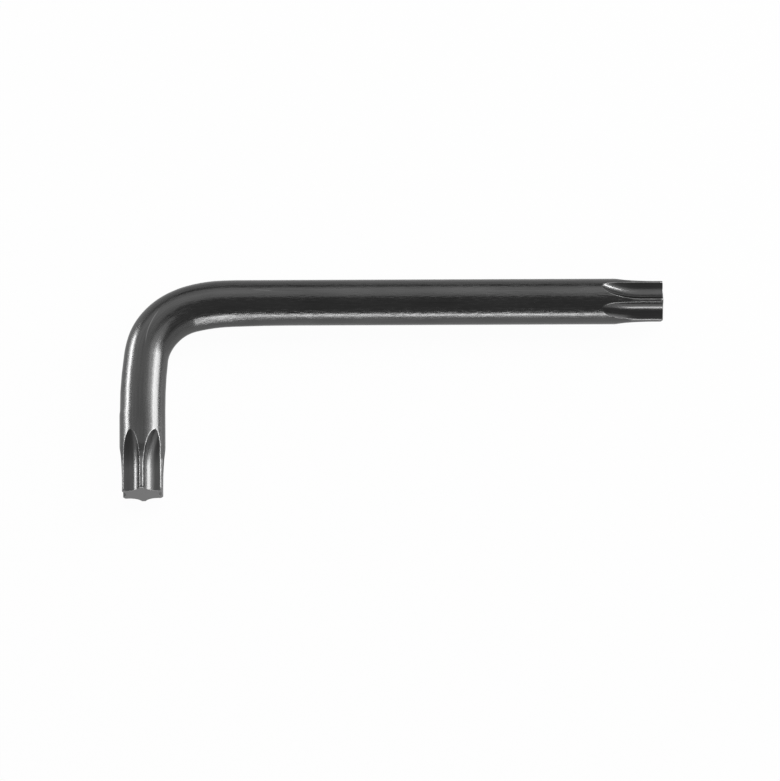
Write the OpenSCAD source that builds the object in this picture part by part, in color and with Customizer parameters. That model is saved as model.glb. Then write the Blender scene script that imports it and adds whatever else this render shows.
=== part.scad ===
// Star-drive key: one length of round tool-steel bar, bent to an L and fluted to a
// six-lobed (hexalobular) star at both ends. It lies flat, as it comes to rest on a
// bench: long arm along +X, short arm towards -Y, underside of the bar at z = 0.

/* [Round bar] */
// Diameter of the bar
bar_d = 6.9; // [6.85:0.05:8]
// Overall length, from the back of the short arm to the long arm's tip face
long_len = 82; // [60:1:140]
// Overall width, from the back of the long arm to the short arm's tip face
short_len = 33.8; // [31:0.1:60]

/* [Bend] */
// Centre-line radius of the tight middle of the bend
bend_r = 9.2; // [7:0.1:14]
// Centre-line radius of the sweep that eases the bend into the long arm
long_sweep_r = 29; // [15:1:40]
// Angle that the long arm's sweep turns through
long_sweep_deg = 14; // [4:1:20]
// Centre-line radius of the sweep that eases the bend into the short arm
short_sweep_r = 80; // [30:5:90]
// Angle that the short arm's sweep turns through
short_sweep_deg = 6; // [2:0.5:8]

/* [Star tips] */
// Size across the star's lobes, from crest to crest
crest_d = 6.75; // [6.3:0.05:6.8]
// Size across the star's roots, from flute floor to flute floor
root_d = 4.85; // [4.4:0.05:5.2]
// Radius of the round shoulders of each lobe
lobe_r = 0.3; // [0.3:0.05:0.6]
// Width of the round land left along each lobe's crest
crest_w = 0.44; // [0.2:0.02:0.5]
// How far the crests hold their size past the end of the full-depth flutes
crest_lag = 0.2; // [0.1:0.05:0.5]
// Length over which the crests then rise to the bar's own surface
crest_rise = 1.2; // [1:0.1:2]
// Length of full-depth flute behind the long arm's tip face
long_flute_len = 5.5; // [3:0.1:8]
// Length of full-depth flute behind the short arm's tip face
short_flute_len = 5.6; // [3:0.1:8]
// Radius on which the flute floors curve up and run out to the bar's surface
runout_r = 7.3; // [5:0.1:12]
// How far the long arm's topmost lobe leans towards the short arm's side
long_star_deg = 17; // [0:1:59]
// How far the short arm's topmost lobe leans away from the long arm
short_star_deg = 3; // [0:1:59]
// Break on the rim of each tip face
rim_break = 0.12; // [0.05:0.01:0.25]

/* [Hidden] */
$fn = 96;

lobes = 6;
pitch_deg = 360 / lobes;
bar_r = bar_d / 2;
crest_r = crest_d / 2;
root_r = root_d / 2;
// How far the flute cutter reaches outside the bar, and past the tip face
overcut = 0.6;

// Lobe circles: each leaves the crest circle where its land ends. They are kept as the
// point of one lobe beside a flute that runs along u.
lobe_c = sqrt(pow(crest_r, 2) - pow(crest_w / 2, 2)) - sqrt(pow(lobe_r, 2) - pow(crest_w / 2, 2));
lobe_u = lobe_c * cos(pitch_deg / 2);
lobe_v = lobe_c * sin(pitch_deg / 2);
// Flute circle: it touches the root circle and both lobe circles. Its radius is taken to
// the nearest micron, and its centre then makes it touch the lobe circles exactly.
flute_fit = (pow(lobe_r, 2) - pow(root_r, 2) - pow(lobe_c, 2) + 2 * root_r * lobe_u)
    / (2 * (root_r - lobe_u - lobe_r));
flute_r = round(flute_fit * 1000) / 1000;
flute_u = lobe_u + sqrt(pow(flute_r + lobe_r, 2) - pow(lobe_v, 2));
// The run-out ends where its floor has risen clear of the bar
runout_deg = acos(1 - (bar_r + overcut - root_r) / runout_r);

// Headings of the centre line at the joins of the bend's three arcs
tight_from = 90 - short_sweep_deg;
tight_to = long_sweep_deg;
// Room that the bend takes from each arm, measured from the corner of the two arm axes
bend_on_long = short_sweep_r * (1 - sin(tight_from))
    + bend_r * (sin(tight_from) - sin(tight_to))
    + long_sweep_r * sin(tight_to);
bend_on_short = short_sweep_r * cos(tight_from)
    + bend_r * (cos(tight_to) - cos(tight_from))
    + long_sweep_r * (1 - cos(tight_to));

// Moves a shape by whole hundredths first and then by the remainder, so that faces and
// curves that are meant to meet do so to the last digit
module place(v) {
    whole = [for (x = v) round(x * 100) / 100];
    translate(whole) translate(v - whole) children();
}

// Section of the flute cutter: u out from the bar's axis, v across the flute. Its round
// nose cuts the floor, and its hollow sides leave the shoulders of the two lobes. Nose and
// sides meet on the lines between the circles' centres, where the circles touch. Outside
// the bar its flanks stay clear of the next flute's cutter.
module flute_section() {
    back_u = flute_u + overcut;
    back_v = back_u * tan(pitch_deg / 2 - asin(crest_w / 4 / crest_r));
    intersection() {
        place([flute_u, 0]) circle(r = flute_r);
        polygon([[flute_u, 0], [lobe_u, lobe_v], [0, 0], [lobe_u, -lobe_v]]);
    }
    difference() {
        polygon([
            [flute_u, 0],
            [lobe_u, lobe_v],
            [back_u, back_v],
            [back_u, -back_v],
            [lobe_u, -lobe_v]
        ]);
        for (side = [-1, 1]) place([lobe_u, side * lobe_v]) circle(r = lobe_r);
    }
}

// One flute's cutter, for a bar that stands on its tip face at z = 0: it runs straight up,
// then leaves the bar on an arc about an axis that lies outside it
module flute(straight) {
    translate([0, 0, -overcut]) linear_extrude(straight + overcut) flute_section();
    translate([root_r + runout_r, 0, straight]) rotate([90, 0, 180])
        rotate_extrude(angle = runout_deg) translate([root_r + runout_r, 0])
            mirror([1, 0]) flute_section();
}

// The six flutes of a bar that stands on its tip face at z = 0, one of its lobes leaning
// from +x towards -y by an angle
module flutes(straight, lean) {
    for (i = [0 : lobes - 1]) rotate([0, 0, pitch_deg * (i + 0.5) - lean]) flute(straight);
}

// The skin that comes off such a bar before it is fluted: it is drawn down to the size
// of the crests, from which it rises gently to the bar's own surface, and its rim is broken
module drawn_skin(straight) {
    clear_r = bar_r + overcut;
    hold = straight + crest_lag;
    rotate_extrude() polygon([
        [crest_r - rim_break - overcut, -overcut],
        [crest_r, rim_break],
        [crest_r, hold],
        [clear_r, hold + crest_rise * (clear_r - crest_r) / (bar_r - crest_r)],
        [clear_r, -overcut]
    ]);
}

// One arc of the bar about a centre, between two headings of its centre line
module bar_arc(centre, r, from, to) {
    place(centre) rotate_extrude(angle = from - to, start = to + 90)
        translate([r, 0]) circle(r = bar_r);
}

// The bent bar before its ends are cut, with the corner of its two arm axes at the origin:
// short arm, its sweep, the tight middle, the long arm's sweep, long arm
module bar() {
    short_start = [0, -bend_on_short, 0];
    long_start = [bend_on_long, 0, 0];
    long_centre = long_start - [0, long_sweep_r, 0];
    tight_centre = long_centre + (long_sweep_r - bend_r) * [-sin(tight_to), cos(tight_to), 0];
    place(short_start) rotate([90, 0, 0]) cylinder(r = bar_r, h = short_len - bar_r - bend_on_short);
    bar_arc(short_start + [short_sweep_r, 0, 0], short_sweep_r, 90, tight_from);
    bar_arc(tight_centre, bend_r, tight_from, tight_to);
    bar_arc(long_centre, long_sweep_r, tight_to, 0);
    place(long_start) rotate([0, 90, 0]) cylinder(r = bar_r, h = long_len - bar_r - bend_on_long);
}

// Stands what is drawn for a tip on the long arm's tip face, or on the short arm's
module on_long_tip() translate([long_len - bar_r, 0, 0]) rotate([0, -90, 0]) children();
module on_short_tip() translate([0, bar_r - short_len, 0]) rotate([-90, -90, 0]) children();

// The whole key, centred on its own footprint
module key() {
    color("dimgray") translate([(bar_d - long_len) / 2, (short_len - bar_d) / 2, bar_r]) {
        difference() {
            difference() {
                bar();
                on_long_tip() drawn_skin(long_flute_len);
                on_short_tip() drawn_skin(short_flute_len);
            }
            on_long_tip() flutes(long_flute_len, long_star_deg);
            on_short_tip() flutes(short_flute_len, short_star_deg);
        }
    }
}

key();
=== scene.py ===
import math
import bpy
import bmesh
from mathutils import Matrix, Vector


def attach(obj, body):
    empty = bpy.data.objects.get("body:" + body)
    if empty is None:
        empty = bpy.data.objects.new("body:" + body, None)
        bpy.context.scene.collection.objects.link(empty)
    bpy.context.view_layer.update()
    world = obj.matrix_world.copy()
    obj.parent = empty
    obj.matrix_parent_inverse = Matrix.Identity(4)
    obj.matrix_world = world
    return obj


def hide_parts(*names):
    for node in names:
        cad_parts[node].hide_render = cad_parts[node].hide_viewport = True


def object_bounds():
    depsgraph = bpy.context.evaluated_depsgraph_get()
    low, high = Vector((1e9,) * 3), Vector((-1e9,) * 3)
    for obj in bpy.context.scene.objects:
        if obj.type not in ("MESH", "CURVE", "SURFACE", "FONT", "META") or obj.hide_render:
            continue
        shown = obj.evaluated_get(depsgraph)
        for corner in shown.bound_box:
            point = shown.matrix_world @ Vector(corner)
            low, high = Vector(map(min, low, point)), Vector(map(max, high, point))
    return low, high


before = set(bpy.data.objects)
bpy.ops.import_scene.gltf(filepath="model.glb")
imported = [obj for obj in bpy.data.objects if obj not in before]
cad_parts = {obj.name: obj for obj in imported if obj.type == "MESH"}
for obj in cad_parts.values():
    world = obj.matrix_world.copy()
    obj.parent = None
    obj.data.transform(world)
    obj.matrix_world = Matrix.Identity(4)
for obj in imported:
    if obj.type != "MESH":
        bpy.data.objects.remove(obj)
cad_lo, cad_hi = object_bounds()

# --- The key ------------------------------------------------------------------------
# One length of round tool-steel bar, bent cold to an L, with a six-lobed star pressed
# into each end. The whole piece is hardened, tumbled and blackened, and use has rubbed
# the arrises of its stars back to grey steel.

bar_r = 3.45e-3
# The star: its radius at its crests and at its roots, the radius of the shoulders of its
# lobes, and the width of the land along each crest
crest_r, root_r, lobe_r, land_w = 3.375e-3, 2.425e-3, 0.3e-3, 0.44e-3
lobes, pitch = 6, math.radians(60)
# Each flute has its full depth for a length, then runs out on a long curve. The dies
# meet at the sides, where two flutes are shorter, and each flute wanders a little round
# the bar as it runs out: full-depth length in millimetres, and wander in degrees.
runout_r = 18e-3
short_flutes = [(3.4, 7), (1.5, 0), (3.4, 2), (3.4, -3), (1.5, 0), (3.4, 0.8)]
long_flutes = [(3.25, -9.4), (1.3, 0), (3.25, 3), (3.25, -4), (1.3, 0), (3.25, -9.4)]
# Each star: how far back its crests hold their size, how it is turned about its arm, from
# straight up towards the bend's inner side, and how far use has rubbed its lobes
short_star = dict(crest_len=5.8e-3, lean=math.radians(-3), flutes=short_flutes, rub=0.95)
long_star = dict(crest_len=5.7e-3, lean=math.radians(17), flutes=long_flutes, rub=0.85)
# The length over which the crests then rise to the bar's own surface
crest_rise = 1.2e-3
# The break on a tip's rim, the roll of its very edge, and how wide an arris is rounded
rim_break, roll_r, arris_w = 0.12e-3, 0.05e-3, 0.08e-3

# Half of a flute's section is two circles that touch: its floor and the lobe's shoulder
lobe_c = math.sqrt(crest_r**2 - (land_w / 2) ** 2) - math.sqrt(lobe_r**2 - (land_w / 2) ** 2)
lobe_u, lobe_v = lobe_c * math.cos(pitch / 2), lobe_c * math.sin(pitch / 2)
floor_r = (lobe_r**2 - root_r**2 - lobe_c**2 + 2 * root_r * lobe_u) / (
    2 * (root_r - lobe_u - lobe_r)
)
floor_u = root_r + floor_r
floor_turn = math.atan2(lobe_v, floor_u - lobe_u)
floor_len = floor_r * floor_turn
wall_len = floor_len + lobe_r * (floor_turn + pitch / 2)
# How far down a flute's wall the rubbing reaches, as a length from the middle of its floor
shoulder_from = 0.7 * floor_len
runout_len = math.sqrt(runout_r**2 - (runout_r - bar_r + root_r) ** 2)

# Columns of faces for half a land, one arris and half a flute
land_cols, arris_cols, flute_cols = 6, 4, 12
columns = 2 * lobes * (land_cols + arris_cols + flute_cols)
# Behind the end of its flute, a flute's columns spread out evenly over the plain bar
spread_len = 3.2e-3
even_half = pitch / 2 * (arris_cols + flute_cols) / (land_cols + arris_cols + flute_cols)


def ease(share):
    """A share from 0 to 1 that starts and ends gently."""
    share = min(max(share, 0), 1)
    return share * share * (3 - 2 * share)


def flute_wall(run, past):
    """Point (outwards, across) on a flute's wall, a run from the middle of its floor,
    at a length past the full-depth flute, where the floor curves up."""
    if abs(run) < floor_len:
        turn = abs(run) / floor_r
        out, across = floor_u - floor_r * math.cos(turn), floor_r * math.sin(turn)
    else:
        turn = (abs(run) - floor_len) / lobe_r - floor_turn
        out, across = lobe_u + lobe_r * math.cos(turn), lobe_v + lobe_r * math.sin(turn)
    swing = root_r + runout_r
    return swing - math.sqrt((swing - out) ** 2 - past**2), math.copysign(across, run)


def about_bar(out, across):
    """Such a point as its radius from the bar's middle and its turn from the flute's."""
    return math.hypot(out, across), math.atan2(across, out)


def skin_radius(depth, crest_len):
    """Radius of the drawn-down skin at a depth behind a tip face."""
    if depth < rim_break:
        return crest_r - rim_break + depth
    risen = min(max((depth - crest_len) / crest_rise, 0), 1)
    return crest_r + (bar_r - crest_r) * risen


def flute_opening(depth, skin, full_mm, wander_deg):
    """A flute at a depth: how far past full depth, its wander, its run to the edge where
    its wall meets the skin, half its angle there, and whether it is still open."""
    full = full_mm * 1e-3
    past = min(max(depth - full, 0), runout_len)
    # The edge is closed in on by halves, to the last digit
    halvings = 40
    inside, outside = 0.0, wall_len
    for _ in range(halvings):
        run = (inside + outside) / 2
        if about_bar(*flute_wall(run, past))[0] < skin:
            inside = run
        else:
            outside = run
    _, half = about_bar(*flute_wall(inside, past))
    # Where it has closed, its columns spread out again from next to nothing
    evened, least_half = ease((depth - full - runout_len) / spread_len), math.radians(0.5)
    closed_half = max(least_half, even_half * evened)
    return dict(
        past=past,
        wander=math.radians(wander_deg) * (past / runout_len) ** 2 * (1 - evened),
        edge_run=inside,
        half=max(half, closed_half),
        is_open=half > closed_half,
    )


def open_flute(opening, skin, land_half, lobe_rub):
    """The columns of an open flute: the turn at which its land begins, those over one of
    its arrises, from wall to land, and those over its whole floor, with their rubbing."""
    past, half, edge_run = opening["past"], opening["half"], opening["edge_run"]
    # The arris is rounded over a little of the land and of the wall, under half of either
    most = 0.4
    soft = min(arris_w, most * edge_run, most * skin * land_half)
    land_turn = half + soft / skin
    wall = flute_wall(edge_run - soft, past)
    edge = (skin * math.cos(half), skin * math.sin(half))
    land = (skin * math.cos(land_turn), skin * math.sin(land_turn))
    arris = []
    for n in range(arris_cols + 1):
        t = n / arris_cols
        out, across = (
            (1 - t) ** 2 * a + 2 * t * (1 - t) * b + t * t * c
            for a, b, c in zip(wall, edge, land)
        )
        arris.append(about_bar(out, across))
    bed = []
    for n in range(-flute_cols, flute_cols):
        run = (edge_run - soft) * n / flute_cols
        shoulder = ease((abs(run) - shoulder_from) / (wall_len - shoulder_from))
        bed.append((*about_bar(*flute_wall(run, past)), lobe_rub * shoulder))
    return land_turn, arris, bed


def closed_flute(half, skin):
    """The same columns where the flute has run out, all of them on the skin."""
    wall_turn = half * flute_cols / (flute_cols + arris_cols)
    arris = [
        (skin, wall_turn + (half - wall_turn) * n / arris_cols) for n in range(arris_cols + 1)
    ]
    bed = [(skin, wall_turn * n / flute_cols, 0.0) for n in range(-flute_cols, flute_cols)]
    return half, arris, bed


def star_ring(depth, star):
    """Radius, turn, rubbing and pressing of every column at a depth behind a tip face."""
    crest_len = star["crest_len"]
    skin = skin_radius(depth, crest_len)
    openings = [flute_opening(depth, skin, *flute) for flute in star["flutes"]]
    halves = [opening["half"] for opening in openings]
    middles = [
        star["lean"] + pitch * (i + 0.5) + opening["wander"]
        for i, opening in enumerate(openings)
    ]
    lobe_rub = star["rub"] * (1 - ease((depth - crest_len + crest_rise) / crest_rise))
    ring = []
    for i, (opening, half, middle) in enumerate(zip(openings, halves, middles)):
        # Each crest is halfway between the edges of the flutes on either side of it
        before = middles[i - 1] + halves[i - 1] - (2 * math.pi if i == 0 else 0)
        j = (i + 1) % lobes
        after = middles[j] - halves[j] + (2 * math.pi if j == 0 else 0)
        crest_from = (before + middle - half) / 2
        crest_to = (after + middle + half) / 2
        if opening["is_open"]:
            land_half = middle - half - crest_from
            land_turn, arris, bed = open_flute(opening, skin, land_half, lobe_rub)
            cut = 1.0
        else:
            land_turn, arris, bed = closed_flute(half, skin)
            cut = 0.0
        for n in range(land_cols):
            turn = crest_from + (middle - land_turn - crest_from) * n / land_cols
            ring.append((skin, turn, lobe_rub, 0.0))
        ring += [(r, middle - turn, cut, cut) for r, turn in reversed(arris[1:])]
        ring += [(r, middle + turn, bed_rub, cut) for r, turn, bed_rub in bed]
        ring += [(r, middle + turn, cut, cut) for r, turn in arris[:-1]]
        for n in range(land_cols):
            turn = middle + land_turn + (crest_to - middle - land_turn) * n / land_cols
            ring.append((skin, turn, lobe_rub, 0.0))
    return ring


def tip_rings(star):
    """Depth and ring at each step from the middle of a tip face to the plain bar."""
    face = star_ring(0, star)
    face_shares = (0.1, 0.5, 0.9, 0.97)
    rings = [
        (0.0, [(r * share, turn, 0.0, 1.0) for r, turn, _, _ in face]) for share in face_shares
    ]
    roll_steps = 3
    for n in range(roll_steps + 1):
        rolled = math.radians(90 * n / roll_steps)
        depth = roll_r * (1 - math.cos(rolled))
        inset = roll_r * (1 - math.sin(rolled))
        rim = star_ring(depth, star)
        rings.append((depth, [(r - inset, turn, 1.0, 1.0) for r, turn, _, _ in rim]))
    # One step lies just behind the rim, and they are closest together where a flute ends
    behind_rim, runout_steps, spread_steps, least_step = 0.5e-3, 36, 10, 0.03e-3
    depths = [rim_break, behind_rim]
    for full in {full_mm * 1e-3 for full_mm, _ in star["flutes"]}:
        for n in range(runout_steps):
            depths.append(full + runout_len * (1 - (1 - n / runout_steps) ** 2))
        for n in range(spread_steps + 1):
            depths.append(full + runout_len + spread_len * n / spread_steps)
    last = 0.0
    for depth in sorted(depths):
        if depth - last > least_step:
            rings.append((depth, star_ring(depth, star)))
            last = depth
    return rings


def inner_side(heading):
    """Direction of the bend's inner side, for a heading from +Y round towards +X."""
    return Vector((math.cos(heading), -math.sin(heading), 0))


# The bend is three arcs, from the short arm to the long one: radius, and degrees turned
bend_arcs = [(80e-3, 6), (9.2e-3, 70), (29e-3, 14)]
degrees_a_step, least_steps = 2, 3
bend_steps, reach, turned = [], Vector((0, 0, 0)), 0.0
for radius, degrees in bend_arcs:
    steps = max(round(degrees / degrees_a_step), least_steps)
    for _ in range(steps):
        heading = turned + math.radians(degrees) / steps
        reach = reach + (inner_side(turned) - inner_side(heading)) * radius
        bend_steps.append((reach, heading, radius * math.radians(degrees) / steps))
        turned = heading
bend_len = sum(step for _, _, step in bend_steps)
short_x, long_y = cad_lo.x + bar_r, cad_hi.y - bar_r
bend_from = Vector((short_x, long_y - reach.y, bar_r))
bend_to = bend_from + reach
bend_start = bend_from.y - cad_lo.y
bar_len = bend_start + bend_len + cad_hi.x - bend_to.x

short_rings, long_rings = tip_rings(short_star), tip_rings(long_star)
short_end, long_end = short_rings[-1][0], bar_len - long_rings[-1][0]

# Cold bending gathers the bar at the bend's inner side and draws it thin at the outer
# one: share of its radius, and where along the bar, in millimetres, each change begins,
# is full, wanes and ends. What is gathered lies within an angle of the inner side.
inner_gather = [(0.072, 20, 28, 38.5, 47)]
outer_draw = [(-0.022, 9, 13, 31, 33), (-0.042, 17, 21, 22, 26), (0.024, 32, 35, 36, 39)]
gather_half = math.radians(36)


def bend_change(changes, along):
    """How much the bend's changes add to the bar's radius at a length along it."""
    at = along * 1e3
    return sum(
        most * ease((at - begins) / (full - begins)) * ease((ends - at) / (ends - wanes))
        for most, begins, full, wanes, ends in changes
    )


def bar_ring(along):
    """The plain bar's ring at a length along it, out of round where it goes round the
    bend. Its columns turn gradually from those of one star to those of the other."""
    share = (along - short_end) / (long_end - short_end)
    lean = short_star["lean"] + (long_star["lean"] - short_star["lean"]) * share
    inner, outer = bend_change(inner_gather, along), bend_change(outer_draw, along)
    ring = []
    for n in range(columns):
        turn = lean + 2 * math.pi * n / columns
        across = math.sin(turn)
        if across > 0:
            grown = 1 + inner * ease(1 - math.acos(across) / gather_half)
        else:
            grown = 1 + outer * across * across
        ring.append((bar_r * grown, turn, 0.0, 0.0))
    return ring


# Every ring of the bar from tip to tip: its columns, its centre, its heading and its
# length along the bar
stations = [
    (ring, Vector((short_x, cad_lo.y + depth, bar_r)), 0.0, depth)
    for depth, ring in short_rings
]
stations.append((bar_ring(bend_start), bend_from, 0.0, bend_start))
along = bend_start
for reach, heading, step in bend_steps:
    along += step
    stations.append((bar_ring(along), bend_from + reach, heading, along))
bend_end = along
straight_step = 4e-3
straight_steps = round((long_end - bend_end) / straight_step)
for n in range(1, straight_steps):
    along = bend_end + (long_end - bend_end) * n / straight_steps
    centre = bend_to + Vector((along - bend_end, 0, 0))
    stations.append((bar_ring(along), centre, math.pi / 2, along))
stations += [
    (ring, Vector((cad_hi.x - depth, long_y, bar_r)), math.pi / 2, bar_len - depth)
    for depth, ring in reversed(long_rings)
]

# A disc in the short tip's face is drawn out along the bar, ring after ring, and closed
# in the long tip's face
key_bm = bmesh.new()
column = key_bm.verts.layers.int.new("column")
on_bar = key_bm.verts.layers.float_vector.new("on_bar")
rubbed = key_bm.verts.layers.float.new("rubbed")
die_pressed = key_bm.verts.layers.float.new("pressed")
ring_verts = bmesh.ops.create_circle(
    key_bm, cap_ends=True, segments=columns, radius=bar_r
)["verts"]
for n, vert in enumerate(ring_verts):
    vert[column] = n
ring_edges = list(key_bm.edges)
for n, (ring, centre, heading, along) in enumerate(stations):
    if n:
        drawn = bmesh.ops.extrude_edge_only(key_bm, edges=ring_edges)["geom"]
        ring_verts = [g for g in drawn if isinstance(g, bmesh.types.BMVert)]
        front = set(ring_verts)
        ring_edges = [
            g for g in drawn if isinstance(g, bmesh.types.BMEdge) and front.issuperset(g.verts)
        ]
    for vert in ring_verts:
        radius, turn, rub, pressed = ring[vert[column]]
        across, up = radius * math.sin(turn), radius * math.cos(turn)
        vert.co = centre + inner_side(heading) * across + Vector((0, 0, up))
        vert[on_bar] = (along, across, up)
        vert[rubbed] = rub
        vert[die_pressed] = pressed
bmesh.ops.holes_fill(key_bm, edges=ring_edges, sides=0)
bmesh.ops.recalc_face_normals(key_bm, faces=key_bm.faces)
for face in key_bm.faces:
    face.smooth = True
key_mesh = bpy.data.meshes.new("star_key")
key_bm.to_mesh(key_mesh)
key_bm.free()
key_piece = bpy.data.objects.new("star_key", key_mesh)
bpy.context.collection.objects.link(key_piece)

# Black oxide over tumbled steel, laid out by each point's place on the bar: how far along
# the bar it is, and how far across and up from the bar's middle
oxide = bpy.data.materials.new("black_oxide")
oxide.use_nodes = True
oxide_nodes, oxide_links = oxide.node_tree.nodes, oxide.node_tree.links
steel = oxide_nodes["Principled BSDF"]
steel.inputs["Metallic"].default_value = 1
steel.inputs["Specular Tint"].default_value = (0.72, 0.72, 0.72, 1)


def key_carries(attribute, output):
    """What the key's mesh carries at each point under a name."""
    node = oxide_nodes.new("ShaderNodeAttribute")
    node.attribute_name = attribute
    return node.outputs[output]


place_on_bar = key_carries("on_bar", "Vector")
rubbing, pressing = key_carries("rubbed", "Fac"), key_carries("pressed", "Fac")
place_parts = oxide_nodes.new("ShaderNodeSeparateXYZ")
oxide_links.new(place_on_bar, place_parts.inputs["Vector"])
place_along, place_across, place_up = place_parts.outputs


def oxide_noise(long_mm, wide_mm, detail, low=0.0, high=1.0):
    """A pattern of patches so long and so wide along the bar, as a value from low to high."""
    placed = oxide_nodes.new("ShaderNodeMapping")
    placed.inputs["Scale"].default_value = (1000 / long_mm, 1000 / wide_mm, 1000 / wide_mm)
    noise = oxide_nodes.new("ShaderNodeTexNoise")
    noise.inputs["Scale"].default_value = 1
    noise.inputs["Detail"].default_value = detail
    # The noise itself lies almost wholly between 0.3 and 0.7
    span = oxide_nodes.new("ShaderNodeMapRange")
    span.inputs["From Min"].default_value, span.inputs["From Max"].default_value = 0.3, 0.7
    span.inputs["To Min"].default_value, span.inputs["To Max"].default_value = low, high
    oxide_links.new(place_on_bar, placed.inputs["Vector"])
    oxide_links.new(placed.outputs["Vector"], noise.inputs["Vector"])
    oxide_links.new(noise.outputs["Fac"], span.inputs["Value"])
    return span.outputs["Result"]


def oxide_math(operation, one, other=0):
    """Two values put together; either may be a plain number."""
    node = oxide_nodes.new("ShaderNodeMath")
    node.operation = operation
    for socket, value in zip(node.inputs, (one, other)):
        if isinstance(value, (int, float)):
            socket.default_value = value
        else:
            oxide_links.new(value, socket)
    return node.outputs["Value"]


def oxide_times(one, other):
    """One value times another."""
    return oxide_math("MULTIPLY", one, other)


def oxide_plus(value, share, amount):
    """A value with an amount added, as far as a share says."""
    return oxide_math("ADD", value, oxide_times(share, amount))


def oxide_step(value, low, high):
    """How far a value has come from low to high, as a share from 0 to 1."""
    step = oxide_nodes.new("ShaderNodeMapRange")
    step.interpolation_type = "SMOOTHSTEP"
    step.inputs["From Min"].default_value, step.inputs["From Max"].default_value = low, high
    oxide_links.new(value, step.inputs["Value"])
    return step.outputs["Result"]


def oxide_blend(share, under, over):
    """One colour over another, as far as a share says; either may be a plain grey."""
    node = oxide_nodes.new("ShaderNodeMix")
    node.data_type = "RGBA"
    oxide_links.new(share, node.inputs[0])
    for socket, colour in zip((node.inputs[6], node.inputs[7]), (under, over)):
        if isinstance(colour, float):
            socket.default_value = (colour, colour, colour, 1)
        else:
            oxide_links.new(colour, socket)
    return node.outputs[2]


def hairline(along, across, half_width):
    """A fine scratch over the upper side, between two places along and across the bar."""
    (start, end), (across_start, across_end) = along, across
    slope = (across_end - across_start) / (end - start)
    off = oxide_times(oxide_math("SUBTRACT", place_along, start), slope)
    off = oxide_math("SUBTRACT", place_across, oxide_math("ADD", off, across_start))
    on_line = oxide_step(oxide_math("ABSOLUTE", off), half_width, 0)
    taper = (end - start) / 4
    began = oxide_step(place_along, start, start + taper)
    not_over = oxide_step(place_along, end, end - taper)
    upper = oxide_math("GREATER_THAN", place_up, 0)
    return oxide_times(oxide_times(on_line, oxide_times(began, not_over)), upper)


clouds = oxide_noise(long_mm=9, wide_mm=3.5, detail=3)
draw_lines = oxide_noise(long_mm=7, wide_mm=0.22, detail=2)
grain = oxide_noise(long_mm=0.9, wide_mm=0.22, detail=3)
grain_patches = oxide_noise(long_mm=3.5, wide_mm=1.5, detail=2, low=0.1, high=1.5)
speckle = oxide_noise(long_mm=1, wide_mm=0.18, detail=2, low=-0.5, high=0.5)
wear_patches = oxide_noise(long_mm=3, wide_mm=1, detail=2, low=0.6, high=1.1)
# The short arm's finish changes to the long arm's in the bend
on_long_arm = oxide_step(place_along, low=0.020, high=0.034)
not_pressed = oxide_plus(1, pressing, -0.92)
worn = oxide_step(oxide_times(rubbing, wear_patches), low=0.3, high=1.1)
scratches = oxide_math(
    "ADD",
    hairline(along=(0.0225, 0.0285), across=(-0.12e-3, -1.2e-3), half_width=0.12e-3),
    hairline(along=(0.0420, 0.0452), across=(-0.95e-3, -0.80e-3), half_width=0.07e-3),
)
# The bar was sheared to length, which leaves its two ends a little paler; the paler ends are
# also a painted reflection of the light their flat faces catch at a slant
sheared_and_reflection_depth = 0.02e-3
from_middle = oxide_math("ABSOLUTE", oxide_math("SUBTRACT", place_along, bar_len / 2))
sheared_and_reflection_ends = oxide_math("GREATER_THAN", from_middle, bar_len / 2 - sheared_and_reflection_depth)

cloud_dark, cloud_pale, line_grey = 0.073, 0.092, 0.115
scratch_grey, sheared_and_reflection_grey, worn_grey = 0.19, 0.15, 0.24
black = oxide_blend(clouds, cloud_dark, cloud_pale)
black = oxide_blend(oxide_times(draw_lines, 0.45), black, line_grey)
black = oxide_blend(oxide_times(scratches, 0.9), black, scratch_grey)
# The end faces get a paler grey: partly sheared steel, partly a painted reflection
black = oxide_blend(sheared_and_reflection_ends, black, sheared_and_reflection_grey)
oxide_links.new(oxide_blend(worn, black, worn_grey), steel.inputs["Base Color"])

# The long arm is glossier and its gloss is more speckled, but the dies left no speckle
plain_sheen = 0.26
sheen = oxide_plus(plain_sheen, clouds, 0.03)
speckle_share = oxide_plus(0.03, on_long_arm, 0.15)
sheen = oxide_plus(sheen, oxide_times(speckle, speckle_share), not_pressed)
sheen = oxide_plus(sheen, worn, 0.08)
sheen = oxide_plus(sheen, pressing, 0.01)
sheen = oxide_plus(sheen, on_long_arm, -0.06)
oxide_links.new(sheen, steel.inputs["Roughness"])

# Heights of the draw lines and of the grain, in micrometres. The grain is coarse in places
# and nearly gone in others, and stronger on the long arm; the dies pressed both smooth.
line_height, grain_height = 1.5, 6.5
grain_share = oxide_times(grain_patches, oxide_plus(0.24, on_long_arm, 1.3))
height = oxide_plus(
    oxide_times(draw_lines, line_height), grain, oxide_times(grain_share, grain_height)
)
relief = oxide_nodes.new("ShaderNodeBump")
relief.inputs["Distance"].default_value = 1e-6
oxide_links.new(oxide_times(height, not_pressed), relief.inputs["Height"])
oxide_links.new(relief.outputs["Normal"], steel.inputs["Normal"])
key_piece.data.materials.append(oxide)

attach(key_piece, "root")
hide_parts("key")

# --- The floor ----------------------------------------------------------------------
# A sheet of coated white card on the bench, much larger than the key, which lies flat on
# it. It shows as plain white to the eye and in the steel, and keeps a soft shadow.

card_half = 3
floor_mesh = bpy.data.meshes.new("floor")
floor_bm = bmesh.new()
bmesh.ops.create_grid(floor_bm, x_segments=1, y_segments=1, size=card_half)
floor_bm.to_mesh(floor_mesh)
floor_bm.free()
floor = bpy.data.objects.new("floor", floor_mesh)
bpy.context.collection.objects.link(floor)

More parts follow.
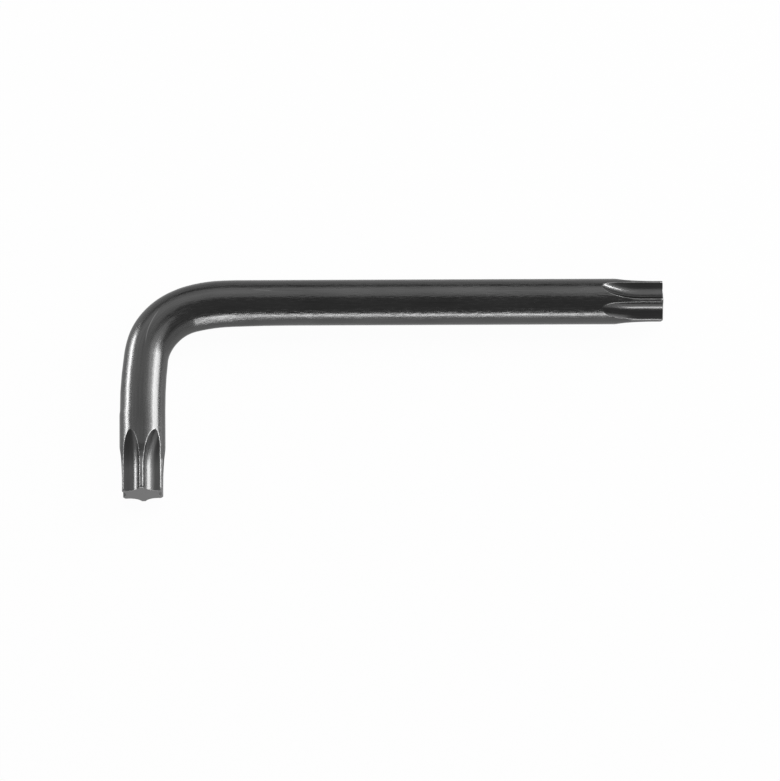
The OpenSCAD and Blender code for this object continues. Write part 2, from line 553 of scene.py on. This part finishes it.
card = bpy.data.materials.new("white_card")
card.use_nodes = True
card_nodes, card_links = card.node_tree.nodes, card.node_tree.links
card_nodes.clear()
card_out = card_nodes.new("ShaderNodeOutputMaterial")
card_lit = card_nodes.new("ShaderNodeBsdfDiffuse")
card_lit.inputs["Color"].default_value = (0.6, 0.6, 0.6, 1)
card_white = card_nodes.new("ShaderNodeEmission")
card_mix = card_nodes.new("ShaderNodeMixShader")
# The eye, polished metal and clear parts see it white, but for a little of its shadow
seen_by = card_nodes.new("ShaderNodeLightPath")
seen = seen_by.outputs["Is Camera Ray"]
for ray in ("Is Glossy Ray", "Is Transmission Ray"):
    either = card_nodes.new("ShaderNodeMath")
    either.operation = "MAXIMUM"
    card_links.new(seen, either.inputs[0])
    card_links.new(seen_by.outputs[ray], either.inputs[1])
    seen = either.outputs["Value"]
whiteness = card_nodes.new("ShaderNodeMath")
whiteness.operation = "MULTIPLY"
whiteness.inputs[1].default_value = 0.98
card_links.new(seen, whiteness.inputs[0])
card_links.new(whiteness.outputs["Value"], card_mix.inputs["Fac"])
card_links.new(card_lit.outputs["BSDF"], card_mix.inputs[1])
card_links.new(card_white.outputs["Emission"], card_mix.inputs[2])
# Its coat mirrors what stands low round its edge
card_coat = card_nodes.new("ShaderNodeBsdfGlossy")
card_coat.inputs["Roughness"].default_value = 0.25
coat_share = card_nodes.new("ShaderNodeFresnel")
coat_share.inputs["IOR"].default_value = 1.2
coated = card_nodes.new("ShaderNodeMixShader")
card_links.new(coat_share.outputs["Fac"], coated.inputs["Fac"])
card_links.new(card_mix.outputs["Shader"], coated.inputs[1])
card_links.new(card_coat.outputs["BSDF"], coated.inputs[2])
card_links.new(coated.outputs["Shader"], card_out.inputs["Surface"])
floor.data.materials.append(card)

# --- The lights ---------------------------------------------------------------------
# A broad soft box above and behind the key, brighter in its middle, and a smaller one to
# the right. Bright strips low at the left, right and front, and a spot at the back, draw
# the streaks along the round bar and the glints in its flutes.

set_middle = Vector(((cad_lo.x + cad_hi.x) / 2, (cad_lo.y + cad_hi.y) / 2, 0))
set_reach = 0.9


def soft_box(name, away, wide, tall, brightness):
    """A lit panel in one direction, facing the key; brightness 1 is white."""
    away = Vector(away).normalized()
    panel = bpy.data.lights.new(name, "AREA")
    panel.shape = "RECTANGLE"
    panel.size, panel.size_y = wide, tall
    panel.energy = brightness * wide * tall * math.pi
    lamp = bpy.data.objects.new(name, panel)
    bpy.context.collection.objects.link(lamp)
    lamp.matrix_world = Matrix.Translation(set_middle + away * set_reach) @ (
        away.to_track_quat("Z", "Y").to_matrix().to_4x4()
    )


soft_box("top_box", (0, 0.85, 1.0), wide=2.6, tall=0.95, brightness=0.64)
soft_box("top_box_middle", (0, 0.98, 1.0), wide=2.6, tall=0.5, brightness=0.25)
soft_box("left_strip", (-0.914, 0.407, 0.10), wide=0.36, tall=0.17, brightness=20)
soft_box("right_strip", (0.82, 0.411, 0.40), wide=0.46, tall=0.52, brightness=11.5)
soft_box("right_box", (0.66, 0.03, 0.75), wide=0.5, tall=0.62, brightness=1.0)
soft_box("back_spot", (0.462, 0.551, 0.695), wide=0.12, tall=0.17, brightness=24)
soft_box("front_strip", (-0.12, -0.98, 0.078), wide=0.86, tall=0.16, brightness=7.6)

# The room round the set is dim, and white only down at the floor's far edge
edge_strength, room_strength = 1.0, 0.25
edge_top, room_bottom = math.radians(3), math.radians(9)
studio = bpy.data.worlds.new("studio")
bpy.context.scene.world = studio
studio.use_nodes = True
studio_nodes, studio_links = studio.node_tree.nodes, studio.node_tree.links
studio_air = studio_nodes["Background"]
studio_air.inputs["Color"].default_value = (1, 1, 1, 1)
look = studio_nodes.new("ShaderNodeTexCoord")
look_up = studio_nodes.new("ShaderNodeSeparateXYZ")
dimmed = studio_nodes.new("ShaderNodeMapRange")
dimmed.inputs["From Min"].default_value = math.sin(edge_top)
dimmed.inputs["From Max"].default_value = math.sin(room_bottom)
dimmed.inputs["To Min"].default_value = edge_strength
dimmed.inputs["To Max"].default_value = room_strength
studio_links.new(look.outputs["Generated"], look_up.inputs["Vector"])
studio_links.new(look_up.outputs["Z"], dimmed.inputs["Value"])
studio_links.new(dimmed.outputs["Result"], studio_air.inputs["Strength"])

# --- The camera ---------------------------------------------------------------------
# A long lens high above the front edge of the bench, looking down on the key with the
# long arm level and the bend at the upper left.

camera_at = (-0.0312015, -0.3713488, 1.0858967)
camera_swing, camera_tilt, camera_roll = -1.634, 18.899, -0.779
camera_data = bpy.data.cameras.new("camera")
camera_data.lens, camera_data.sensor_width = 350.77, 36
camera_data.clip_start, camera_data.clip_end = 0.05, 20
camera = bpy.data.objects.new("camera", camera_data)
bpy.context.collection.objects.link(camera)
camera.matrix_world = (
    Matrix.Translation(camera_at)
    @ Matrix.Rotation(math.radians(camera_swing), 4, "Y")
    @ Matrix.Rotation(math.radians(camera_tilt), 4, "X")
    @ Matrix.Rotation(math.radians(camera_roll), 4, "Z")
)
bpy.context.scene.camera = camera
bpy.context.scene.view_settings.view_transform = "Standard"
